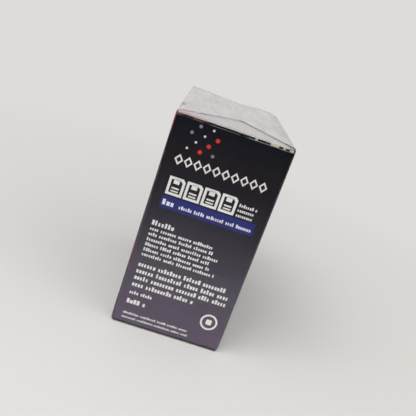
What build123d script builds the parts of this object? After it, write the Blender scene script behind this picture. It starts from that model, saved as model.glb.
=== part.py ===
from build123d import *
import os

os.makedirs("parts", exist_ok=True)

# A sealed retail pack of 3.5 inch diskettes: a folding carton of printed board, closed at both ends by glued
# flaps, and a clear film folded round it like an envelope. The carton can't be seen into, so it is one solid.
# X runs across the narrow face, Y from the front narrow face to the back one, and Z is up. The origin is the
# middle of the face that the pack stands on.

# Carton, in millimetres
carton_width = 49.5
carton_depth = 96.0
carton_height = 97.0
board = 0.5              # thickness of the board
upright_radius = 1.1     # outside of the upright folds
lid_radius = 1.1         # outside of the folds along the wide faces at the top
base_radius = 2.0        # and at the base, where they are worn rounder
flap_radius = 0.8        # outside of the fold that a dust flap turns on
flap_setback = 1.2       # from a narrow face to the cut edge of the outer flap
flap_stop = 2.5          # from the wide face at +X to the outer flap's free edge
seam_gap = 0.25          # gap beside the cut edge of the wall that is glued over the seam flap
seam_depth = 0.4
slit_length = 4.0        # one cut of the perforated fold
slit_tie = 1.6           # uncut board between two cuts
slit_width = 0.3
slit_depth = 0.35
dent_width = 3.5         # the dented upper corner at +X and the back, along each of its three edges
dent_depth = 10.0
dent_height = 3.0

# Film, in millimetres
film_gap = 0.1           # from the board to the film
film = 0.12              # film on the walls and over the lid
film_base = 0.24         # folded layers under the carton
film_front_radius = 0.8  # inside of its folds along the narrow faces
slack_front = 0.3        # the film stands this far above the lid at the front
slack_back = 2.2         # and this far at the back
slack_radius = 2.2       # inside of the loose fold at the back
flap_layer = 0.15        # one folded flap
flap_inset = 0.3         # from a crease of the film to the edge of a flap's layers
flap_lap = 7.0           # how far the two long flaps overlap in the middle
crease = 0.2             # width of a pressed fold line
crease_depth = 0.06
fold_slack = 0.2         # the film's folds along the wide faces are this much wider than the carton's
overrun = 0.02           # their arcs would pass the film's faces by this much
lap_seam = 9.0           # from the middle of the back face to the edge of the film's upright seam

carton_base = film_base + film_gap
carton_middle = carton_base + carton_height / 2
carton_top = carton_base + carton_height
film_half_width = carton_width / 2 + film_gap
film_half_depth = carton_depth / 2 + film_gap
rise = slack_back - slack_front
reach = 2 * (carton_width + carton_depth + carton_height)


def prism(face, direction):
    """A face pushed both ways along a direction, far past the pack."""
    return extrude(face, amount=reach, dir=direction, both=True)


def nearest(shape, x, y):
    """The corner of a flat outline that lies nearest to a point."""
    return shape.vertices().sort_by_distance((x, y, 0))[0]


def wall_outline(grow=0.0):
    """The carton seen from above, grown on all sides. Three corners are folds, the glued one is square."""
    outline = Rectangle(carton_width + 2 * grow, carton_depth + 2 * grow)
    glued = nearest(outline, carton_width, carton_depth)
    folds = [corner for corner in outline.vertices() if corner != glued]
    outline = fillet(folds, upright_radius + grow)
    return fillet(nearest(outline, carton_width, carton_depth), grow) if grow else outline


def closed_ends_across():
    """Both ends from the front: an outer flap folds over from -X and stops short of the fold at +X."""
    end = carton_height / 2
    folded = Rectangle(carton_width, carton_height - 2 * board)
    outer_flap = Pos(-flap_stop / 2, 0) * Rectangle(carton_width - flap_stop, carton_height)
    view = folded + outer_flap
    half = carton_width / 2
    top_folds = [nearest(view, -half, end), nearest(view, half, end)]
    view = fillet(top_folds, lid_radius)
    base_folds = [nearest(view, -half, -end), nearest(view, half, -end)]
    view = fillet(base_folds, base_radius)
    return prism(Plane.XZ * view, (0, 1, 0))


def closed_ends_along():
    """Both ends from the side: the narrow faces fold in as dust flaps under the outer flap's cut edges."""
    folded = Rectangle(carton_depth, carton_height - 2 * board)
    folded = fillet(folded.vertices(), flap_radius)
    outer_flaps = Rectangle(carton_depth - 2 * flap_setback, carton_height)
    return prism(Plane.YZ * (folded + outer_flaps), (1, 0, 0))


def perforation():
    """Cuts along the front and back folds of the upper end, square to the outside of the fold."""
    pitch = slit_length + slit_tie
    count = int((carton_width - 2 * upright_radius + slit_tie) // pitch)
    inset = flap_radius * (1 - 0.5**0.5)
    slit = Box(slit_length, slit_width, 2 * slit_depth)
    cuts = []
    for side in (-1, 1):
        fold = Pos(0, side * (carton_depth / 2 - inset), carton_height / 2 - board - inset)
        row = GridLocations(pitch, 1, count, 1)
        cuts += [fold * place * Rot(-side * 45, 0, 0) * slit for place in row]
    return cuts


def beyond_dent(distance):
    """All that lies outside the dented corner, on a plane set off from the board by a distance."""
    slope = Vector(1 / dent_width, 1 / dent_depth, 1 / dent_height)
    flat = Vector(carton_width / 2 - dent_width, carton_depth / 2, carton_top)
    plane = Plane(origin=flat + slope.normalized() * distance, z_dir=slope)
    return extrude(plane * Rectangle(reach, reach), amount=reach)


def make_carton():
    """The printed carton with what is sealed in it."""
    body = extrude(wall_outline(), amount=carton_height / 2, both=True)
    body = body & closed_ends_across() & closed_ends_along()
    seam = Box(seam_gap, 2 * seam_depth, 2 * carton_height)
    body -= Pos(carton_width / 2 - board - seam_gap / 2, carton_depth / 2) * seam
    body -= perforation()
    return Pos(0, 0, carton_middle) * body - beyond_dent(0)


def side_outline(grow, base):
    """The film seen from the side: tight on the carton at the front, loose and higher at the back."""
    half = film_half_depth + grow
    front = carton_top + slack_front + grow
    back = front + rise
    view = make_face(Polyline((-half, base), (half, base), (half, back), (-half, front), close=True))
    view = fillet([nearest(view, -half, base), nearest(view, half, base)], film_front_radius + grow)
    view = fillet(nearest(view, -half, front), film_front_radius + grow)
    return fillet(nearest(view, half, back), slack_radius + grow)


def beyond_fold(side, radius, wall, level, end, direction):
    """All that lies outside one fold along a wide face. End is 1 for an upper fold and -1 for a lower one.

    The arc would pass both faces by the overrun, so that it meets them at an angle.
    """
    inset = radius - overrun
    middle = Pos(side * (wall - inset), level - end * inset)
    corner = middle * Pos(side * radius, end * radius) * Rectangle(2 * radius, 2 * radius)
    return prism(Plane.XZ * (corner - middle * Circle(radius)), direction)


def film_form(grow, base):
    """The space inside the film, or the film's outside where it is grown by a thickness."""
    form = prism(wall_outline(film_gap + grow), (0, 0, 1))
    form &= prism(Plane.YZ * side_outline(grow, base), (1, 0, 0))
    wall = film_half_width + grow
    base_fold = base_radius + film_gap + fold_slack + grow
    top_fold = lid_radius + film_gap + fold_slack + grow
    top_middle = carton_top + (slack_front + slack_back) / 2 + grow
    top_slope = (0, 2 * (film_half_depth + grow), rise)
    for side in (-1, 1):
        form -= beyond_fold(side, base_fold, wall, base, -1, (0, 1, 0))
        form -= beyond_fold(side, top_fold, wall, top_middle, 1, top_slope)
    return form - beyond_dent(film_gap + grow)


def long_flap(side):
    """One long end flap from above: its ends are folded in at 45 degrees, and it passes the middle."""
    outer_x = film_half_width - flap_inset
    outer_y = film_half_depth - flap_inset
    inner_x = -flap_lap / 2
    inner_y = outer_y - (outer_x - inner_x)
    corners = [(outer_x, -outer_y), (outer_x, outer_y), (inner_x, inner_y), (inner_x, -inner_y)]
    return make_face(Polyline(*[(side * x, y) for x, y in corners], close=True))


def top_flaps():
    """The two long flaps over the lid, as forms that hold the film under them. The one from -X lies lower."""
    forms = []
    for side, count in ((-1, 1), (1, 2)):
        above = extrude(Pos(0, 0, carton_middle) * long_flap(side), reach)
        forms.append(film_form(film + count * flap_layer, 0) & above)
    return forms


def base_creases():
    """Pressed edges of the long flaps on the flat underside."""
    under, over = long_flap(-1), long_flap(1)
    lines = over - offset(over, -crease)
    lines += under - offset(under, -crease) - over
    flat_depth = 2 * (film_half_depth - film_front_radius - flap_inset)
    flat_width = 2 * (film_half_width - base_radius - flap_inset)
    return extrude(lines & Rectangle(flat_width, flat_depth), crease_depth)


def make_film():
    """The clear film: a closed skin round the carton, with folded ends and one upright seam at the back."""
    skin = film_form(film, 0) + top_flaps()
    skin -= film_form(0, film_base)
    skin -= base_creases()
    seam = Box(crease, 2 * crease_depth, carton_height)
    skin -= Pos(lap_seam, film_half_depth + film, carton_middle) * seam
    return skin


carton = make_carton()
film_wrap = make_film()
export_step(carton, "parts/carton.step")
export_step(film_wrap, "parts/film_wrap.step")
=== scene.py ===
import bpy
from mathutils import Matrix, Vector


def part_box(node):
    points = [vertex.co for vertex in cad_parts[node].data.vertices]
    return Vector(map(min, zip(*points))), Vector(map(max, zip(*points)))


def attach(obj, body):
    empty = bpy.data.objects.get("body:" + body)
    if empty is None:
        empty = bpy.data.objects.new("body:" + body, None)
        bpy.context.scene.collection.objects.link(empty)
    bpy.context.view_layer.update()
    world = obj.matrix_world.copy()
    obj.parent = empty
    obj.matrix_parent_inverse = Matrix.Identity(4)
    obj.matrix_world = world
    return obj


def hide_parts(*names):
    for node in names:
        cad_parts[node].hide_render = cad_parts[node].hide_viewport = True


bl_info = {
    "name": "Diskette Carton",
    "version": (1, 0, 0),
    "blender": (4, 5, 0),
    "location": "View3D > Sidebar > Carton",
    "description": "Prints, wears and wraps a sealed carton of 3.5 inch diskettes",
    "category": "Object",
}

import math
import random

import bmesh
import bpy
from bpy.props import FloatProperty, FloatVectorProperty, IntProperty, PointerProperty
from mathutils import Matrix, Vector, geometry, noise

# X runs across the narrow face, Y from the front narrow face to the back one, and Z is up, all in metres.
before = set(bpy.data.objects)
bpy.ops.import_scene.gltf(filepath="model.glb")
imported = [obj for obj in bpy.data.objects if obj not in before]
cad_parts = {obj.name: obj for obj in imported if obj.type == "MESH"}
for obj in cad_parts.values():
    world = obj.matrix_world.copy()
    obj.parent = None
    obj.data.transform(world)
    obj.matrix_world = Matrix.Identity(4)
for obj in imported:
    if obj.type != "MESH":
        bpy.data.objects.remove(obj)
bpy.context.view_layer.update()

MM = 0.001
CARTON_LOW, CARTON_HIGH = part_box("carton")
FILM_LOW, FILM_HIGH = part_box("film_wrap")
CARTON_WIDTH = CARTON_HIGH.x - CARTON_LOW.x
CARTON_DEPTH = CARTON_HIGH.y - CARTON_LOW.y
CARTON_HEIGHT = CARTON_HIGH.z - CARTON_LOW.z

# A value kept with each point of the film: how far it lies behind the front edge of a long flap. Points on
# the edge hold the second number, so that a mesh without the values shows no edge.
BEHIND_FLAP_EDGE = "behind_flap_edge"
ON_FLAP_EDGE = 100 * MM


def screen(red, green, blue):
    """A colour written as 8 bit screen values, as the linear values that materials use."""
    parts = []
    for value in (red, green, blue):
        share = value / 255
        parts.append(share / 12.92 if share <= 0.04045 else ((share + 0.055) / 1.055) ** 2.4)
    return tuple(parts)


def colour(name, description, red, green, blue):
    """A colour property with its default written as screen values."""
    return FloatVectorProperty(
        name=name, description=description, subtype="COLOR", size=3, min=0, max=1,
        default=screen(red, green, blue))


def length(name, description, millimetres):
    """A length property in metres, with its default written in millimetres."""
    return FloatProperty(
        name=name, description=description, subtype="DISTANCE", unit="LENGTH", min=0,
        default=millimetres * MM)


# Sizes and colours that a user would change

class CartonColours(bpy.types.PropertyGroup):
    """Inks and board."""
    upper: colour("Upper ink", "Near black at the top of the faces", 9, 18, 35)
    high: colour("High ink", "Just below the top of the faces", 39, 34, 40)
    middle: colour("Middle ink", "Above the middle of the faces", 52, 47, 59)
    low: colour("Low ink", "Below the middle of the faces", 73, 65, 83)
    lower: colour("Lower ink", "Plum at the bottom of the faces", 100, 85, 108)
    red: colour("Red ink", "Fields on the wide faces", 172, 42, 52)
    bright: colour("Bright ink", "Printed dots", 228, 58, 46)
    lid: colour("Lid", "Pale lilac of the upper end", 217, 213, 221)
    raw: colour("Raw board", "Uncoated board at cuts and worn folds", 236, 228, 212)
    white: colour("White ink", "Printed blocks", 246, 245, 242)
    grey: colour("Grey ink", "Small printed shapes", 150, 148, 156)
    blue: colour("Blue ink", "The printed band", 42, 50, 138)


class CartonPrint(bpy.types.PropertyGroup):
    """The layout of the generic print."""
    ink: length("Ink thickness", "How far the print stands above the board", 0.02)
    margin: length("Left margin", "From the left fold to the lines of blocks", 4.2)
    seed: IntProperty(name="Seed", description="Order of the random words", default=11, min=0)


class CartonFilm(bpy.types.PropertyGroup):
    """The clear wrapping."""
    sag: length("Sag", "How far the loose end sinks in the middle of the back", 0.75)
    settle: length("Settle", "How far it sinks all along the back", 0.35)
    crease: length("Crease size", "Distance between the creases of the loose end", 8.0)
    crinkle: length("Crinkle", "Height of the creases where the film is loosest", 0.2)
    mesh_step: length("Mesh step", "Distance between two cuts in the top", 0.6)
    wall_step: length("Wall step", "Distance between two cuts in the walls", 3.0)
    ripple: length("Ripple", "How far the walls stand proud at a ripple", 0.1)
    pull: length("Pull", "How far the long flaps are pulled to +X where they meet", 2.4)
    haze: FloatProperty(
        name="Haze", description="Cover of the milky bloom over the loose end", subtype="FACTOR",
        default=0.55, min=0, max=1)


class CartonStage(bpy.types.PropertyGroup):
    """The camera and the studio."""
    azimuth: FloatProperty(
        name="Azimuth", description="Turn of the camera from looking along Y", subtype="ANGLE",
        default=math.radians(4.207))
    pitch: FloatProperty(
        name="Pitch", description="How far the camera looks down", subtype="ANGLE",
        default=math.radians(17.266))
    roll: FloatProperty(
        name="Roll", description="Turn of the camera about its own line of sight", subtype="ANGLE",
        default=math.radians(19.666))
    distance: length("Distance", "From the camera to the point that it looks at", 213.74)
    lens: FloatProperty(
        name="Lens", description="Focal length on a 36 mm sensor", subtype="DISTANCE_CAMERA",
        default=45.0)
    lit_floor: length("Lit floor", "Reach of the floor before the pack for all but the camera", 130.0)
    floor: colour("Floor", "Floor and backdrop as a surface", 212, 211, 208)
    backdrop: colour("Backdrop", "Floor and backdrop as the camera sees them afar", 221, 220, 218)


# Meshes

class Face:
    """One wall of the carton, seen from outside: x runs from its left fold and z from its lower edge."""

    def __init__(self, across, out):
        self.across = Vector(across)
        self.out = Vector(out)
        self.up = Vector((0, 0, 1))
        self.width = abs(self.across.x) * CARTON_WIDTH + abs(self.across.y) * CARTON_DEPTH
        reach = abs(self.out.x) * CARTON_WIDTH + abs(self.out.y) * CARTON_DEPTH
        middle = self.out * reach / 2 - self.across * self.width / 2
        self.corner = Vector((middle.x, middle.y, CARTON_LOW.z))

    def point(self, x, z, out):
        return self.corner + self.across * x + self.up * z + self.out * out


FRONT = Face((1, 0, 0), (0, -1, 0))
BACK = Face((-1, 0, 0), (0, 1, 0))
LEFT = Face((0, -1, 0), (-1, 0, 0))
RIGHT = Face((0, 1, 0), (1, 0, 0))


def box_outline(x0, z0, x1, z1):
    """Corners of a rectangle."""
    return [(x0, z0), (x1, z0), (x1, z1), (x0, z1)]


def round_outline(x0, z0, x1, z1, radius, steps=5):
    """A rectangle with round corners."""
    centres = [
        (x1 - radius, z1 - radius, 0),
        (x0 + radius, z1 - radius, 90),
        (x0 + radius, z0 + radius, 180),
        (x1 - radius, z0 + radius, 270),
    ]
    points = []
    for x, z, start in centres:
        for step in range(steps + 1):
            angle = math.radians(start + 90 * step / steps)
            points.append((x + radius * math.cos(angle), z + radius * math.sin(angle)))
    return points


def disc_outline(x, z, radius, steps=40):
    """A circle."""
    turns = [2 * math.pi * step / steps for step in range(steps)]
    return [(x + radius * math.cos(turn), z + radius * math.sin(turn)) for turn in turns]


def add_plate(mesh, face, loops, thickness, sink):
    """A thin closed plate on a wall. The first loop is its outline and the others are holes."""
    flat = [point for loop in loops for point in loop]
    triangles = geometry.tessellate_polygon([[Vector((x, z, 0)) for x, z in loop] for loop in loops])
    outer = [mesh.verts.new(face.point(x, z, thickness)) for x, z in flat]
    inner = [mesh.verts.new(face.point(x, z, -sink)) for x, z in flat]
    for a, b, c in triangles:
        mesh.faces.new((outer[a], outer[b], outer[c]))
        mesh.faces.new((inner[c], inner[b], inner[a]))
    start = 0
    for loop in loops:
        count = len(loop)
        for index in range(count):
            here = start + index
            there = start + (index + 1) % count
            mesh.faces.new((outer[here], outer[there], inner[there], inner[here]))
        start += count


def finish_piece(name, mesh, material):
    """Turns a bmesh into a piece that rides with the pack."""
    bmesh.ops.recalc_face_normals(mesh, faces=mesh.faces[:])
    data = bpy.data.meshes.new(name)
    mesh.to_mesh(data)
    mesh.free()
    data.materials.append(material)
    piece = bpy.data.objects.new(name, data)
    bpy.context.scene.collection.objects.link(piece)
    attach(piece, "root")
    return piece


# Materials

WHITE = (1.0, 1.0, 1.0)


class Wiring:
    """Adds nodes to a material or a group and joins them as they are made."""

    def __init__(self, tree):
        self.tree = tree

    def feed(self, socket, value):
        if isinstance(value, bpy.types.NodeSocket):
            self.tree.links.new(value, socket)
        elif socket.type == "RGBA" and len(value) == 3:
            socket.default_value = (*value, 1)
        else:
            socket.default_value = value

    def node(self, kind, inputs=None, **settings):
        made = self.tree.nodes.new(kind)
        for name, value in settings.items():
            setattr(made, name, value)
        for key, value in (inputs or {}).items():
            self.feed(made.inputs[key], value)
        return made

    def maths(self, operation, *values, clamp=False):
        inputs = dict(enumerate(values))
        return self.node("ShaderNodeMath", inputs, operation=operation, use_clamp=clamp).outputs[0]

    def smooth(self, value, low, high):
        """0 below low and 1 above high, with a soft change between."""
        inputs = {"Value": value, "From Min": low, "From Max": high}
        return self.node("ShaderNodeMapRange", inputs, interpolation_type="SMOOTHSTEP").outputs["Result"]

    def fall(self, value, low, high):
        """1 below low and 0 above high, with a soft change between."""
        return self.maths("SUBTRACT", 1.0, self.smooth(value, low, high), clamp=True)

    def product(self, first, *others):
        """All the values multiplied."""
        for value in others:
            first = self.maths("MULTIPLY", first, value)
        return first

    def largest(self, first, *others):
        """The largest of the values at each point."""
        for value in others:
            first = self.maths("MAXIMUM", first, value)
        return first

    def mix(self, factor, first, second, blend="MIX"):
        made = self.node("ShaderNodeMix", data_type="RGBA", blend_type=blend)
        self.feed(made.inputs[0], factor)
        self.feed(made.inputs[6], first)
        self.feed(made.inputs[7], second)
        return made.outputs[2]

    def mix_shaders(self, factor, first, second):
        """The first shader where the factor is 0, and the second where it is 1."""
        return self.node("ShaderNodeMixShader", {0: factor, 1: first, 2: second}).outputs[0]

    def noise(self, vector, scale, detail=2.0, roughness=0.5, distortion=0.0):
        inputs = {
            "Vector": vector, "Scale": scale, "Detail": detail, "Roughness": roughness,
            "Distortion": distortion,
        }
        return self.node("ShaderNodeTexNoise", inputs).outputs["Fac"]

    def place(self):
        """Object coordinates, and their X, Y and Z."""
        vector = self.node("ShaderNodeTexCoord").outputs["Object"]
        parts = self.node("ShaderNodeSeparateXYZ", {0: vector}).outputs
        return vector, parts["X"], parts["Y"], parts["Z"]

    def group(self, tree, inputs):
        made = self.node("ShaderNodeGroup", node_tree=tree)
        for key, value in inputs.items():
            self.feed(made.inputs[key], value)
        return made.outputs


def new_group(name, inputs, outputs):
    """An empty node group with named sockets, given as name and socket type."""
    tree = bpy.data.node_groups.new(name, "ShaderNodeTree")
    for socket, kind in inputs:
        tree.interface.new_socket(name=socket, in_out="INPUT", socket_type="NodeSocket" + kind)
    for socket, kind in outputs:
        tree.interface.new_socket(name=socket, in_out="OUTPUT", socket_type="NodeSocket" + kind)
    wiring = Wiring(tree)
    return tree, wiring, wiring.node("NodeGroupInput").outputs, wiring.node("NodeGroupOutput")


def span_group():
    """A mask that is 1 where a value lies between two limits."""
    if "span" in bpy.data.node_groups:
        return bpy.data.node_groups["span"]
    sockets = [("Value", "Float"), ("Low", "Float"), ("High", "Float"), ("Feather", "Float")]
    tree, wiring, given, result = new_group("span", sockets, [("Mask", "Float")])
    rise = wiring.smooth(
        given["Value"],
        wiring.maths("SUBTRACT", given["Low"], given["Feather"]),
        wiring.maths("ADD", given["Low"], given["Feather"]))
    fall = wiring.smooth(
        given["Value"],
        wiring.maths("SUBTRACT", given["High"], given["Feather"]),
        wiring.maths("ADD", given["High"], given["Feather"]))
    wiring.feed(result.inputs["Mask"], wiring.maths("SUBTRACT", rise, fall, clamp=True))
    return tree


def paper_group():
    """The fine tooth of coated board under ink: a height for bumps and a mottle for colour."""
    if "paper" in bpy.data.node_groups:
        return bpy.data.node_groups["paper"]
    tree, wiring, given, result = new_group(
        "paper", [("Position", "Vector"), ("Grain", "Float")],
        [("Height", "Float"), ("Mottle", "Float")])
    fine = wiring.noise(given["Position"], given["Grain"], detail=4)
    broad = wiring.noise(given["Position"], wiring.maths("MULTIPLY", given["Grain"], 0.06), detail=3)
    mottle = wiring.maths("MULTIPLY_ADD", broad, 0.7, wiring.maths("MULTIPLY", fine, 0.3))
    wiring.feed(result.inputs["Height"], fine)
    wiring.feed(result.inputs["Mottle"], mottle)
    return tree


def span(wiring, value, low, high, feather):
    """The span group placed with its values, given in metres."""
    inputs = {"Value": value, "Low": low, "High": high, "Feather": feather}
    return wiring.group(span_group(), inputs)["Mask"]


def tooth(wiring, paper, strength, depth):
    """The normal of board with its fine tooth."""
    inputs = {"Height": paper["Height"], "Strength": strength, "Distance": depth}
    return wiring.node("ShaderNodeBump", inputs).outputs[0]


def new_material(name):
    """A material with an empty tree, and its output node."""
    material = bpy.data.materials.new(name)
    material.use_nodes = True
    material.node_tree.nodes.clear()
    wiring = Wiring(material.node_tree)
    return material, wiring, wiring.node("ShaderNodeOutputMaterial")


def ink_material(name, ink):
    """Ink on coated board, with the board's tooth and a slight mottle."""
    material, wiring, output = new_material(name)
    vector, _, _, _ = wiring.place()
    paper = wiring.group(paper_group(), {"Position": vector, "Grain": 2600.0})
    shade = wiring.maths("MULTIPLY_ADD", paper["Mottle"], 0.24, 0.88)
    tint = wiring.mix(1.0, ink, shade, blend="MULTIPLY")
    surface = wiring.node("ShaderNodeBsdfPrincipled", {
        "Base Color": tint, "Roughness": 0.42, "Normal": tooth(wiring, paper, 0.15, 0.02 * MM),
        "Specular IOR Level": 0.3})
    wiring.feed(output.inputs["Surface"], surface.outputs[0])
    return material


def face_ink(wiring, colours, z):
    """The fade of the printed faces, from near black at the top to plum at the bottom."""
    ramp = wiring.node("ShaderNodeValToRGB")
    whole_height = {"Value": z, "From Min": CARTON_LOW.z, "From Max": CARTON_HIGH.z}
    share = wiring.node("ShaderNodeMapRange", whole_height)
    wiring.feed(ramp.inputs[0], share.outputs["Result"])
    stops = ramp.color_ramp.elements
    stops[0].position = 0.06
    stops[0].color = (*colours.lower, 1)
    stops[1].position = 1.0
    stops[1].color = (*colours.upper, 1)
    for position, ink in ((0.35, colours.low), (0.6, colours.middle), (0.86, colours.high)):
        stop = stops.new(position)
        stop.color = (*ink, 1)
    return ramp.outputs["Color"]


# Red fields of the wide faces, as heights above the foot of the carton
LOWER_FIELD = (27 * MM, 38.8 * MM)
UPPER_FIELD = (87.3 * MM, CARTON_HEIGHT - 0.9 * MM)
RIGHT_FIELD_START = 6 * MM  # behind the front fold of the right wide face
PRINT_FEATHER = 0.1 * MM    # half the soft edge of a printed field

# Worn patches of the upper front fold: start and end as shares of its length, and how far the ink has gone
WORN_PATCHES = (
    (0.0, 1.0, 0.3),
    (0.658, 0.682, 0.75),
    (0.79, 0.862, 1.2),
    (0.897, 0.92, 0.75),
    (0.953, 0.985, 0.8),
)

# Rubbed red ink at the left end of that fold: its length and how far in it reaches
RUBBED_LENGTH = 12.5 * MM
RUBBED_DEPTH = 1.3 * MM


def board_material(colours):
    """Printed and worn board: the fade, red fields, pale lid, and raw board at cuts and worn folds."""
    material, wiring, output = new_material("printed board")
    vector, x, y, z = wiring.place()
    normal = wiring.node("ShaderNodeNewGeometry").outputs["Normal"]
    faces = wiring.node("ShaderNodeSeparateXYZ", {0: normal}).outputs
    paper = wiring.group(paper_group(), {"Position": vector, "Grain": 2200.0})
    ragged = wiring.noise(vector, 1400.0, detail=5, roughness=0.6)
    patchy = wiring.noise(vector, 260.0, detail=3)
    along = wiring.maths("SUBTRACT", x, CARTON_LOW.x)
    inward = wiring.maths("SUBTRACT", y, CARTON_LOW.y)
    tone = face_ink(wiring, colours, z)

    # Red fields at the top of the wide faces and below their middle, short of the right front fold
    wide = wiring.smooth(wiring.maths("ABSOLUTE", x), CARTON_HIGH.x - 0.4 * MM, CARTON_HIGH.x - 0.15 * MM)
    at_left = wiring.maths("LESS_THAN", x, 0.0)
    past_fold = wiring.smooth(inward, RIGHT_FIELD_START - 0.2 * MM, RIGHT_FIELD_START)
    upper_field, lower_field = [
        span(wiring, z, CARTON_LOW.z + low, CARTON_LOW.z + high, PRINT_FEATHER)
        for low, high in (UPPER_FIELD, LOWER_FIELD)]
    fields = wiring.product(
        wiring.largest(upper_field, lower_field), wide, wiring.largest(at_left, past_fold))
    tone = wiring.mix(fields, tone, colours.red)

    # The pale lid
    upward = wiring.smooth(faces["Z"], 0.5, 0.8)
    on_lid = wiring.smooth(z, CARTON_HIGH.z - 0.3 * MM, CARTON_HIGH.z - 0.1 * MM)
    tone = wiring.mix(wiring.product(upward, on_lid), tone, colours.lid)

    # Raw board at the cut edges of the outer flap
    forward = wiring.smooth(wiring.maths("ABSOLUTE", faces["Y"]), 0.75, 0.95)
    above_fold = wiring.smooth(z, CARTON_HIGH.z - 0.49 * MM, CARTON_HIGH.z - 0.46 * MM)
    cut_edge = wiring.product(forward, above_fold)

    # A thin worn line along the foot of the upper front fold, where it was cut for tearing
    foot = span(wiring, z, CARTON_HIGH.z - 1.42 * MM, CARTON_HIGH.z - 1.16 * MM, 0.07 * MM)
    outermost = wiring.fall(inward, 0.5 * MM, 0.7 * MM)
    uneven = wiring.smooth(patchy, 0.3, 0.62)
    rightward = wiring.maths("MULTIPLY_ADD", wiring.smooth(x, -10 * MM, 15 * MM), 0.4, 0.3)
    foot = wiring.product(foot, outermost, uneven, rightward)

    # Worn patches of that fold, most of them near its right end
    near_top = wiring.smooth(z, CARTON_HIGH.z - 1.4 * MM, CARTON_HIGH.z - 1.0 * MM)
    near_front = wiring.fall(inward, 0.9 * MM, 1.2 * MM)
    patches = []
    for low, high, strength in WORN_PATCHES:
        patch = span(wiring, along, low * CARTON_WIDTH, high * CARTON_WIDTH, 0.15 * MM)
        patches.append(wiring.product(patch, strength))
    worn = wiring.product(wiring.largest(*patches), wiring.product(near_top, near_front))
    worn = wiring.smooth(wiring.maths("ADD", worn, ragged), 0.88, 1.12)
    raw = wiring.largest(cut_edge, worn, foot)
    tone = wiring.mix(raw, tone, wiring.mix(patchy, colours.raw, screen(198, 186, 166)))

    # Red ink, pale where it is rubbed, that runs over the cut edge and the dust flap's fold
    red_end = span(wiring, along, -1 * MM, RUBBED_LENGTH, 1.4 * MM)
    on_flap = span(wiring, inward, -1 * MM, RUBBED_DEPTH, PRINT_FEATHER)
    red_end = wiring.product(red_end, on_flap, wiring.largest(upward, cut_edge), 0.85)
    rubbed = wiring.mix(ragged, screen(186, 102, 96), screen(218, 182, 171))
    tone = wiring.mix(red_end, tone, rubbed)

    shade = wiring.maths("MULTIPLY_ADD", paper["Mottle"], 0.3, 0.85)
    tone = wiring.mix(1.0, tone, shade, blend="MULTIPLY")
    roughness = wiring.maths("MULTIPLY_ADD", raw, 0.4, 0.4)
    surface = wiring.node("ShaderNodeBsdfPrincipled", {
        "Base Color": tone, "Roughness": roughness, "Normal": tooth(wiring, paper, 0.2, 0.03 * MM),
        "Specular IOR Level": 0.1})
    wiring.feed(output.inputs["Surface"], surface.outputs[0])
    return material


# Stretches along X of the long flaps' front edges: start, end and half the soft change at each end
BARE_STRETCH = (-18.4 * MM, -15.9 * MM, 0.4 * MM)
DOUBLED_STRETCH = (-15.9 * MM, -13.6 * MM, 0.5 * MM)
CROSSING_STRETCH = (0.5 * MM, 4.5 * MM, 1.5 * MM)

# Where the painted shade of the film's fold at the left edge lies along Y
LEFT_FOLD_SHADE_STRETCH = (-35 * MM, -24 * MM, 3 * MM)


def film_bump(wiring, stretched, loose):
    """The normal of the film: soft waves drawn out along Y, deeper over the loose end."""
    fine = wiring.noise(stretched, 420.0, detail=3, distortion=0.2)
    broad = wiring.noise(stretched, 90.0, distortion=0.2)
    waves = wiring.maths("MULTIPLY_ADD", fine, 0.08, broad)
    depth = wiring.maths("MULTIPLY_ADD", loose, 0.55, 0.12)
    inputs = {"Height": wiring.product(waves, depth), "Strength": 0.6, "Distance": 0.25 * MM}
    return wiring.node("ShaderNodeBump", inputs).outputs[0]


def flap_rim_shade(wiring, vector, x, behind, loose):
    """Masks of the painted shade line at the long flaps' front edges, and of its left end, which is
    painted red.
    """
    red_start = wiring.fall(x, -18.9 * MM, -18.0 * MM)
    doubled = span(wiring, x, *DOUBLED_STRETCH)
    crossing = span(wiring, x, *CROSSING_STRETCH)
    right_end = wiring.smooth(x, 16 * MM, 22 * MM)
    # The painted shade line is uneven, and darker where the flaps double or cross and at both ends.
    strength = wiring.maths("MULTIPLY_ADD", wiring.noise(vector, 230.0), 0.45, 0.03, clamp=True)
    for darker in (doubled, crossing, right_end, red_start):
        strength = wiring.maths("MULTIPLY_ADD", darker, 0.3, strength, clamp=True)
    bare = wiring.maths("MULTIPLY_ADD", span(wiring, x, *BARE_STRETCH), -0.85, 1.0)
    edge = span(wiring, behind, -0.4 * MM, 0.2 * MM, 0.2 * MM)
    rim_shade = wiring.product(edge, loose, wiring.product(strength, bare))
    broad_edge = span(wiring, behind, -0.9 * MM, 0.1 * MM, 0.3 * MM)
    return wiring.largest(rim_shade, wiring.product(broad_edge, doubled, loose, 0.9)), red_start


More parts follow.
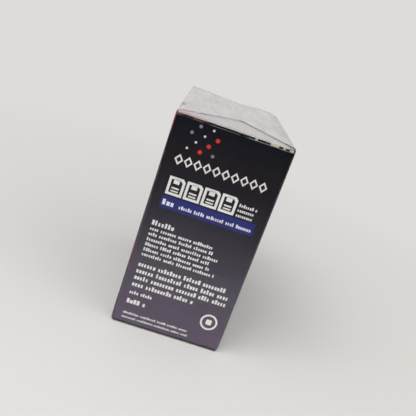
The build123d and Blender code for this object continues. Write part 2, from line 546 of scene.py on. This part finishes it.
def film_material(settings):
    """Clear film: it lets the print show, mirrors more at a slant, and is milky where it is loose."""
    material, wiring, output = new_material("clear film")
    vector, x, y, z = wiring.place()
    loose = wiring.smooth(z, CARTON_HIGH.z - 0.5 * MM, CARTON_HIGH.z + 0.3 * MM)
    stretched = wiring.node(
        "ShaderNodeVectorMath", {0: vector, 1: (2.0, 0.4, 1.0)}, operation="MULTIPLY").outputs["Vector"]
    normal = film_bump(wiring, stretched, loose)

    kept = wiring.node("ShaderNodeAttribute", attribute_name=BEHIND_FLAP_EDGE).outputs["Fac"]
    behind = wiring.maths("SUBTRACT", kept, ON_FLAP_EDGE)
    rim_shade, red_start = flap_rim_shade(wiring, vector, x, behind, loose)

    # Painted shade: a thin grey line along the last bend of the film at the back
    back_bend_shade = wiring.smooth(y, FILM_HIGH.y - 1.9 * MM, FILM_HIGH.y - 0.7 * MM)
    back_bend_shade = wiring.product(back_bend_shade, loose, 0.32)

    # Painted lilac-grey shade at the left edge, where the film folds over the corner
    at_edge = wiring.fall(x, -24 * MM, -22 * MM)
    left_fold_shade = wiring.product(span(wiring, y, *LEFT_FOLD_SHADE_STRETCH), at_edge, loose, 0.3)

    # Milky blotches drawn out along the flaps, and fine specks
    blotches = wiring.smooth(wiring.noise(stretched, 80.0, distortion=0.15), 0.3, 0.7)
    flaps = wiring.smooth(behind, -0.1 * MM, 0.1 * MM)
    milk = wiring.maths("MULTIPLY_ADD", blotches, 0.2, wiring.maths("MULTIPLY_ADD", flaps, 0.25, 0.23))
    milk = wiring.product(milk, loose, settings.haze)
    specks = wiring.smooth(wiring.noise(vector, 900.0, detail=3), 0.72, 0.8)
    fold_shade = wiring.largest(back_bend_shade, left_fold_shade)
    cover = wiring.largest(milk, wiring.product(specks, 0.06), rim_shade, fold_shade)

    clear = wiring.node("ShaderNodeBsdfTransparent", {"Color": WHITE})
    gloss = wiring.node("ShaderNodeBsdfGlossy", {"Color": WHITE, "Roughness": 0.07, "Normal": normal})
    fresnel = wiring.node("ShaderNodeFresnel", {"IOR": 1.38, "Normal": normal})
    mirror = wiring.mix_shaders(fresnel.outputs[0], clear.outputs[0], gloss.outputs[0])
    # Colour of the painted shade line at the flap edges: dark purple, and red at its left end.
    rim_shade_colour = wiring.mix(red_start, screen(100, 88, 108), screen(190, 62, 72))
    # Where the painted shade of the folds lies, the bloom turns grey.
    dull = wiring.smooth(fold_shade, 0.0, 0.3)
    bloom_colour = wiring.mix(dull, screen(240, 240, 237), screen(150, 149, 156))
    bloom_colour = wiring.mix(wiring.smooth(rim_shade, 0.0, 0.12), bloom_colour, rim_shade_colour)
    bloom = wiring.node("ShaderNodeBsdfPrincipled", {
        "Base Color": bloom_colour, "Roughness": 0.3, "Normal": normal, "Specular IOR Level": 0.5})
    wiring.feed(output.inputs["Surface"], wiring.mix_shaders(cover, mirror, bloom.outputs[0]))
    return material


def floor_material(settings):
    """Plain pale paper that takes the pack's shadow. Further off the camera sees it evenly lit."""
    material, wiring, output = new_material("studio paper")
    vector, _, y, _ = wiring.place()
    cloud = wiring.noise(vector, 3.0)
    shade = wiring.maths("MULTIPLY_ADD", cloud, 0.03, 0.985)
    tint = wiring.mix(1.0, tuple(settings.floor), shade, blend="MULTIPLY")
    surface = wiring.node(
        "ShaderNodeBsdfPrincipled", {"Base Color": tint, "Roughness": 0.9, "Specular IOR Level": 0.1})
    even = wiring.node("ShaderNodeEmission", {"Color": tuple(settings.backdrop), "Strength": 1.0})
    away = wiring.node("ShaderNodeVectorMath", {0: vector}, operation="LENGTH").outputs["Value"]
    seen = wiring.node("ShaderNodeLightPath").outputs["Is Camera Ray"]
    afar = wiring.product(wiring.smooth(away, 90 * MM, 400 * MM), seen)
    paper = wiring.mix_shaders(afar, surface.outputs[0], even.outputs[0])

    # Before the pack only the camera sees the floor, so that the film mirrors a dim room there
    before = wiring.maths("LESS_THAN", y, -settings.lit_floor)
    gone = wiring.product(before, wiring.maths("SUBTRACT", 1.0, seen))
    clear = wiring.node("ShaderNodeBsdfTransparent", {"Color": WHITE})
    wiring.feed(output.inputs["Surface"], wiring.mix_shaders(gone, paper, clear.outputs[0]))
    return material


# Print

def block_line(shapes, draw, x, z, end, tall, pitch):
    """A line of print stood for by small blocks in words, from x to its end, on the height z."""
    while x + pitch < end:
        for _ in range(draw.randint(4, 9)):
            if x + pitch > end:
                break
            rise = draw.choice((0.72, 0.72, 0.72, 1.0))
            wide = draw.uniform(0.55, 0.84) * pitch
            shapes.append([box_outline(x, z, x + wide, z + rise * tall)])
            x += pitch
        x += pitch * 0.8


def diskette_sign(shapes, x, z, width, height):
    """A diskette in outline: one corner cut, a shutter at its upper edge and a label below."""
    stroke = 0.16 * width
    loops = []
    for inset, cut in ((0, 0.16 * width), (stroke, 0.11 * width)):
        left, right = x + inset, x + width - inset
        low, high = z + inset, z + height - inset
        loops.append([(left, low), (right, low), (right, high - cut), (right - cut, high), (left, high)])
    shapes.append([loops[0], loops[1][::-1]])
    shutter = (0.3, 0.64, 0.66, 0.9)
    upper_line = (0.27, 0.36, 0.73, 0.45)
    lower_line = (0.27, 0.2, 0.73, 0.28)
    for x0, z0, x1, z1 in (shutter, upper_line, lower_line):
        shapes.append([box_outline(x + x0 * width, z + z0 * height, x + x1 * width, z + z1 * height)])


def diamond_row(shapes, x, z, end, tall, count):
    """A row of outlined diamonds where a name would stand."""
    pitch = (end - x) / count
    for index in range(count):
        middle = x + (index + 0.5) * pitch
        loops = []
        for share in (1.0, 0.56):
            half_width = 0.46 * pitch * share
            half_height = 0.5 * tall * share
            level = z + tall / 2
            loops.append([
                (middle - half_width, level), (middle, level - half_height),
                (middle + half_width, level), (middle, level + half_height)])
        shapes.append([loops[0], loops[1][::-1]])


def dot_field(inks, x, z, rows, columns, row_pitch, column_pitch):
    """A field of dots where a picture would stand, on every other place of a grid, in three inks."""
    for row in range(rows):
        for column in range(columns):
            if (row + column) % 2 == 0:
                radius = 0.5 + 0.2 * ((2 * row + column) % 3)
                dot = disc_outline(x + column_pitch * column, z + row_pitch * row, radius, steps=20)
                inks[(row + 2 * column) % 3].append([dot])


def narrow_face_print(settings, seed):
    """All shapes of a narrow face, in millimetres from its lower left corner, by ink."""
    draw = random.Random(seed)
    white, grey, bright, blue = [], [], [], []
    margin = settings.margin / MM

    # The upper half, from the dots down to the band and what is printed on it
    dot_field((white, bright, grey), x=8.2, z=84.0, rows=4, columns=5, row_pitch=3.3, column_pitch=2.7)
    diamond_row(white, x=4.6, z=76.2, end=44.4, tall=4.7, count=10)
    for index in range(4):
        diskette_sign(white, x=5.4 + 7.55 * index, z=63.3, width=6.9, height=7.9)
    for z in (67.8, 65.6, 63.4):
        block_line(white, draw, x=36.0, z=z, end=44.6, tall=1.4, pitch=0.9)
    blue.append([box_outline(x0=4.8, z0=57.1, x1=45.3, z1=62.6)])
    block_line(white, draw, x=5.6, z=58.5, end=12.0, tall=2.5, pitch=1.8)
    block_line(white, draw, x=12.8, z=58.6, end=44.4, tall=1.6, pitch=0.95)

    # A heading and two paragraphs
    block_line(white, draw, x=margin, z=48.6, end=14.6, tall=2.2, pitch=1.4)
    for z, end in ((46.1, 33.0), (43.7, 33.2), (41.2, 36.8), (38.8, 33.6), (36.3, 34.0), (33.9, 37.0)):
        block_line(white, draw, x=margin, z=z, end=end, tall=1.5, pitch=0.98)
    for z, end in ((28.7, 45.6), (25.5, 47.8), (22.3, 48.2), (18.9, 32.4)):
        block_line(white, draw, x=margin, z=z, end=end, tall=2.1, pitch=1.3)

    # Short lines at the foot, and a ring with a square
    block_line(white, draw, x=margin, z=15.0, end=14.6, tall=1.6, pitch=1.05)
    block_line(white, draw, x=margin, z=10.3, end=14.0, tall=2.2, pitch=1.5)
    for z, end in ((4.9, 34.8), (2.7, 36.0)):
        block_line(white, draw, x=margin, z=z, end=end, tall=1.1, pitch=0.8)
    ring_x, ring_z, half_square = 41.5, 12.9, 1.3
    white.append([
        disc_outline(ring_x, ring_z, radius=3.9), disc_outline(ring_x, ring_z, radius=3.0)[::-1]])
    white.append([round_outline(
        ring_x - half_square, ring_z - half_square, ring_x + half_square, ring_z + half_square,
        radius=0.5)])
    return {"white": white, "grey": grey, "bright": bright, "blue": blue}


def wide_face_print(seed):
    """All shapes of a wide face, in millimetres from its lower left corner, by ink."""
    draw = random.Random(seed)
    white, grey = [], []
    margin = 10.0
    diamond_row(white, x=margin, z=72.0, end=86.0, tall=8.0, count=10)
    for index in range(4):
        diskette_sign(white, x=margin + 11.4 * index, z=48.0, width=10.2, height=10.8)
    for z, end in ((17.0, 60.0), (13.5, 66.0), (10.0, 54.0)):
        block_line(grey, draw, x=margin, z=z, end=end, tall=2.0, pitch=1.35)
    return {"white": white, "grey": grey}


def print_face(name, face, shapes, inks, settings):
    """Prints the shapes of one face, one piece for each ink. The blue band lies under the blocks on it."""
    level = {"blue": 0.5, "white": 1.0, "grey": 1.0, "bright": 1.0}
    for ink, loops in shapes.items():
        mesh = bmesh.new()
        for outline in loops:
            scaled = [[(x * MM, z * MM) for x, z in loop] for loop in outline]
            add_plate(mesh, face, scaled, settings.ink * level[ink], settings.ink * 0.5)
        finish_piece(f"print_{name}_{ink}", mesh, inks[ink])


# Film

MERGE_DISTANCE = 1e-6  # points nearer than this are one
CUT_TOLERANCE = 1e-7   # points nearer to a cut than this lie on it


def cut_into_strips(mesh, faces, axis, low, high, step):
    """Cuts faces by evenly spaced planes square to an axis. Returns the faces after the cuts."""
    count = int((high - low) / step)
    direction = Vector(axis)
    for index in range(1, count):
        place = direction * (low + (high - low) * index / count)
        verts = dict.fromkeys(vert for face in faces for vert in face.verts)
        edges = dict.fromkeys(edge for face in faces for edge in face.edges)
        made = bmesh.ops.bisect_plane(
            mesh, geom=[*verts, *edges, *faces], plane_co=place, plane_no=direction, dist=CUT_TOLERANCE)
        faces = [item for item in made["geom"] if isinstance(item, bmesh.types.BMFace)]
    return faces


def limit(value):
    """A value held between 0 and 1."""
    return min(1.0, max(0.0, value))


def from_folds(x, y):
    """0 at the folds of the film round the lid and 1 further in."""
    border = min(FILM_HIGH.x - abs(x), y - FILM_LOW.y, FILM_HIGH.y - y)
    return limit((border - 0.6 * MM) / (3 * MM))


def wander(place):
    """A smooth push in a direction that changes over the film. It is the same in each run of Blender."""
    return Vector([noise.noise(place + Vector((0, 0, layer))) for layer in (17.3, 31.9, 53.6)])


def crease_height(x, y, size):
    """Height of loose film, from 1 on a crease to about -1 between two: a crease is where a noise is 0."""
    total = 0
    for share, scale, layer in ((0.6, 1.0, 3.7), (0.4, 0.46, 9.1)):
        place = Vector((x / (size * scale), y / (size * scale * 1.5), layer))
        place += wander(place * 0.6) * 0.4
        total += share * (1 - 3.2 * abs(noise.noise(place)))
    return total


def pull_flaps(mesh, settings):
    """Pulls the front edges of the long flaps to +X and keeps how far each point lay behind them."""
    held = 1.5 * MM          # nothing is pulled this near to a fold
    front_reach = 6 * MM     # the pull grows over this much behind the front fold
    back_start = -20 * MM    # from here to the next place the pull dies away
    back_end = -4 * MM
    kept = mesh.verts.layers.float.new(BEHIND_FLAP_EDGE)
    for vert in mesh.verts:
        x, y, z = vert.co
        vert[kept] = ON_FLAP_EDGE + y - FILM_LOW.y - (FILM_HIGH.x - abs(x))
        if z > CARTON_HIGH.z:
            across = limit(1 - abs(x) / (FILM_HIGH.x - held))
            front = limit((y - FILM_LOW.y - held) / front_reach)
            back = limit((back_end - y) / (back_end - back_start))
            vert.co.x += settings.pull * across * front * back


def loosen_top(mesh, settings):
    """Lets the film over the lid sink towards the back, in low creases that fade at the tight front."""
    sag_width = 0.62 * FILM_HIGH.x
    for vert in mesh.verts:
        x, y, z = vert.co
        lift = limit((z - CARTON_HIGH.z + 1 * MM) / (2 * MM))
        if lift == 0:
            continue
        room = (y - FILM_LOW.y) / (FILM_HIGH.y - FILM_LOW.y)
        across = limit(abs(x) / sag_width)
        vert.co.z -= lift * room ** 2 * (settings.settle + settings.sag * (1 - across ** 2))
        if z > CARTON_HIGH.z + 0.25 * MM:
            height = settings.crinkle * (0.25 + 0.75 * room)
            vert.co.z += height * from_folds(x, y) * crease_height(x, y, settings.crease)


def ripple_walls(mesh, settings):
    """Lets the walls of the film stand a little proud in soft ripples."""
    for vert in mesh.verts:
        x, y, z = vert.co
        fade = limit(min(z - FILM_LOW.z - 2 * MM, CARTON_HIGH.z - z) / (6 * MM))
        swell = settings.ripple * fade * (0.5 + 0.5 * noise.noise(Vector((x, y, z)) * 60))
        if abs(x) > CARTON_HIGH.x:
            vert.co.x += math.copysign(swell, x)
        if abs(y) > CARTON_HIGH.y:
            vert.co.y += math.copysign(swell, y)


def film_mesh(settings):
    """The film of the frame, cut finely and loosened."""
    mesh = bmesh.new()
    mesh.from_mesh(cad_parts["film_wrap"].data)
    bmesh.ops.remove_doubles(mesh, verts=mesh.verts[:], dist=MERGE_DISTANCE)
    walls = mesh.faces[:]
    walls = cut_into_strips(mesh, walls, (0, 0, 1), FILM_LOW.z, CARTON_HIGH.z, settings.wall_step)
    walls = cut_into_strips(mesh, walls, (1, 0, 0), FILM_LOW.x, FILM_HIGH.x, settings.wall_step)
    cut_into_strips(mesh, walls, (0, 1, 0), FILM_LOW.y, FILM_HIGH.y, settings.wall_step)
    top = [face for face in mesh.faces if min(vert.co.z for vert in face.verts) > CARTON_HIGH.z]
    top = cut_into_strips(mesh, top, (1, 0, 0), FILM_LOW.x, FILM_HIGH.x, settings.mesh_step)
    cut_into_strips(mesh, top, (0, 1, 0), FILM_LOW.y, FILM_HIGH.y, settings.mesh_step)
    bmesh.ops.triangulate(mesh, faces=mesh.faces[:])
    pull_flaps(mesh, settings)
    loosen_top(mesh, settings)
    ripple_walls(mesh, settings)
    return mesh


# Stage

# Name, place, size and power of each soft light
LAMPS = (
    ("key_light", (-0.55, -0.5, 0.95), 0.7, 6.0),
    ("fill_light", (0.8, -0.6, 0.7), 0.9, 2.4),
    ("front_light", (-0.1, -1.3, 0.5), 1.0, 6.0),
)

# The point of the front face that the camera looks at: across from its middle, and above its foot
AIM_ACROSS = -0.57 * MM
AIM_ABOVE = 63.07 * MM


def add_floor(settings):
    """A floor that curves up into a backdrop."""
    half_width = 1.4
    front = -0.9
    back = 0.9
    bend = 0.35
    bend_steps = 16
    top = 1.3
    profile = [(front, 0.0), (back - bend, 0.0)]
    for step in range(1, bend_steps + 1):
        angle = math.radians(90 * step / bend_steps)
        profile.append((back - bend + bend * math.sin(angle), bend - bend * math.cos(angle)))
    profile.append((back, top))
    mesh = bmesh.new()
    rows = [[mesh.verts.new((side * half_width, y, z)) for side in (-1, 1)] for y, z in profile]
    for lower, upper in zip(rows, rows[1:]):
        mesh.faces.new((lower[0], lower[1], upper[1], upper[0]))
    data = bpy.data.meshes.new("floor")
    mesh.to_mesh(data)
    mesh.free()
    data.shade_smooth()
    data.materials.append(floor_material(settings))
    floor = bpy.data.objects.new("floor", data)
    bpy.context.scene.collection.objects.link(floor)


def add_lamp(name, place, target, size, power):
    """A square soft light aimed at a point."""
    data = bpy.data.lights.new(name, "AREA")
    data.size = size
    data.energy = power
    lamp = bpy.data.objects.new(name, data)
    lamp.location = place
    lamp.rotation_euler = (Vector(target) - Vector(place)).to_track_quat("-Z", "Y").to_euler()
    bpy.context.scene.collection.objects.link(lamp)


def add_world():
    """An even pale studio. What shines sees the backdrop behind the pack and a dim room before it."""
    world = bpy.data.worlds.new("studio")
    bpy.context.scene.world = world
    world.use_nodes = True
    world.node_tree.nodes.clear()
    wiring = Wiring(world.node_tree)
    rays = wiring.node("ShaderNodeLightPath").outputs
    direction = wiring.node("ShaderNodeTexCoord").outputs["Generated"]
    parts = wiring.node("ShaderNodeSeparateXYZ", {0: direction}).outputs
    behind = wiring.smooth(parts["Y"], -0.25, 0.35)
    level = wiring.smooth(parts["Z"], -0.47, -0.24)
    floor, dim_room = screen(214, 213, 210), screen(44, 44, 48)
    mirrored = wiring.mix(behind, wiring.mix(level, floor, dim_room), screen(219, 218, 216))
    tone = wiring.mix(rays["Is Camera Ray"], screen(212, 212, 212), screen(221, 220, 218))
    tone = wiring.mix(rays["Is Glossy Ray"], tone, mirrored)
    background = wiring.node("ShaderNodeBackground", {"Color": tone, "Strength": 1.0})
    output = wiring.node("ShaderNodeOutputWorld")
    wiring.feed(output.inputs["Surface"], background.outputs[0])


def add_camera(settings):
    """The camera at the photograph's viewing angle, with its roll."""
    target = Vector((AIM_ACROSS, CARTON_LOW.y, CARTON_LOW.z + AIM_ABOVE))
    level = Vector((math.sin(settings.azimuth), math.cos(settings.azimuth), 0))
    forward = level * math.cos(settings.pitch) - Vector((0, 0, math.sin(settings.pitch)))
    side = forward.cross(Vector((0, 0, 1))).normalized()
    up = side.cross(forward)
    right = side * math.cos(settings.roll) + up * math.sin(settings.roll)
    rolled_up = right.cross(forward)
    data = bpy.data.cameras.new("camera")
    data.lens = settings.lens
    data.sensor_width = 36
    data.clip_start = 0.01
    data.clip_end = 20
    camera = bpy.data.objects.new("camera", data)
    place = target - forward * settings.distance
    axes = Matrix((right, rolled_up, -forward)).transposed().to_4x4()
    camera.matrix_world = Matrix.Translation(place) @ axes
    bpy.context.scene.collection.objects.link(camera)
    bpy.context.scene.camera = camera


# Operators

class CARTON_OT_finish_board(bpy.types.Operator):
    """Give the carton its printed and worn board"""
    bl_idname = "carton.finish_board"
    bl_label = "Finish the board"

    def execute(self, context):
        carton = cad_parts["carton"]
        carton.data.materials.clear()
        carton.data.materials.append(board_material(context.scene.carton_colours))
        return {"FINISHED"}


class CARTON_OT_print_faces(bpy.types.Operator):
    """Print the generic design on the four walls"""
    bl_idname = "carton.print_faces"
    bl_label = "Print the faces"

    def execute(self, context):
        colours = context.scene.carton_colours
        settings = context.scene.carton_print
        inks = {}
        for ink in ("white", "grey", "bright", "blue"):
            inks[ink] = ink_material(f"{ink} ink", tuple(getattr(colours, ink)))
        print_face("front", FRONT, narrow_face_print(settings, settings.seed), inks, settings)
        print_face("back", BACK, narrow_face_print(settings, settings.seed + 1), inks, settings)
        print_face("left", LEFT, wide_face_print(settings.seed + 2), inks, settings)
        print_face("right", RIGHT, wide_face_print(settings.seed + 3), inks, settings)
        return {"FINISHED"}


class CARTON_OT_wrap_film(bpy.types.Operator):
    """Wrap the carton in crinkled clear film"""
    bl_idname = "carton.wrap_film"
    bl_label = "Wrap the film"

    def execute(self, context):
        settings = context.scene.carton_film
        film = finish_piece("film", film_mesh(settings), film_material(settings))
        film.data.shade_smooth()
        film.data.set_sharp_from_angle(angle=math.radians(40))
        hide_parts("film_wrap")
        return {"FINISHED"}


class CARTON_OT_set_stage(bpy.types.Operator):
    """Set the floor, the lights and the camera"""
    bl_idname = "carton.set_stage"
    bl_label = "Set the stage"

    def execute(self, context):
        settings = context.scene.carton_stage
        add_floor(settings)
        middle = (0, 0, CARTON_HEIGHT / 2)
        for name, place, size, power in LAMPS:
            add_lamp(name, place, middle, size, power)
        add_world()
        add_camera(settings)
        context.scene.view_settings.view_transform = "Standard"
        return {"FINISHED"}


class CARTON_PT_panel(bpy.types.Panel):
    """The carton's sizes, colours and steps."""
    bl_idname = "CARTON_PT_panel"
    bl_label = "Diskette carton"
    bl_space_type = "VIEW_3D"
    bl_region_type = "UI"
    bl_category = "Carton"

    def draw(self, context):
        layout = self.layout
        for operator in OPERATORS:
            layout.operator(operator.bl_idname)
        for name, group in GROUPS.items():
            box = layout.box()
            box.label(text=group.__doc__)
            for key in group.__annotations__:
                box.prop(getattr(context.scene, name), key)


GROUPS = {
    "carton_colours": CartonColours,
    "carton_print": CartonPrint,
    "carton_film": CartonFilm,
    "carton_stage": CartonStage,
}
OPERATORS = (CARTON_OT_finish_board, CARTON_OT_print_faces, CARTON_OT_wrap_film, CARTON_OT_set_stage)


def register():
    for name, group in GROUPS.items():
        bpy.utils.register_class(group)
        setattr(bpy.types.Scene, name, PointerProperty(type=group))
    for operator in OPERATORS:
        bpy.utils.register_class(operator)
    bpy.utils.register_class(CARTON_PT_panel)


def unregister():
    bpy.utils.unregister_class(CARTON_PT_panel)
    for operator in reversed(OPERATORS):
        bpy.utils.unregister_class(operator)
    for name, group in reversed(GROUPS.items()):
        delattr(bpy.types.Scene, name)
        bpy.utils.unregister_class(group)


def main():
    """Makes the whole scene."""
    register()
    bpy.ops.carton.set_stage()
    bpy.ops.carton.finish_board()
    bpy.ops.carton.print_faces()
    bpy.ops.carton.wrap_film()
    bpy.context.view_layer.update()


if __name__ == "__main__":
    main()
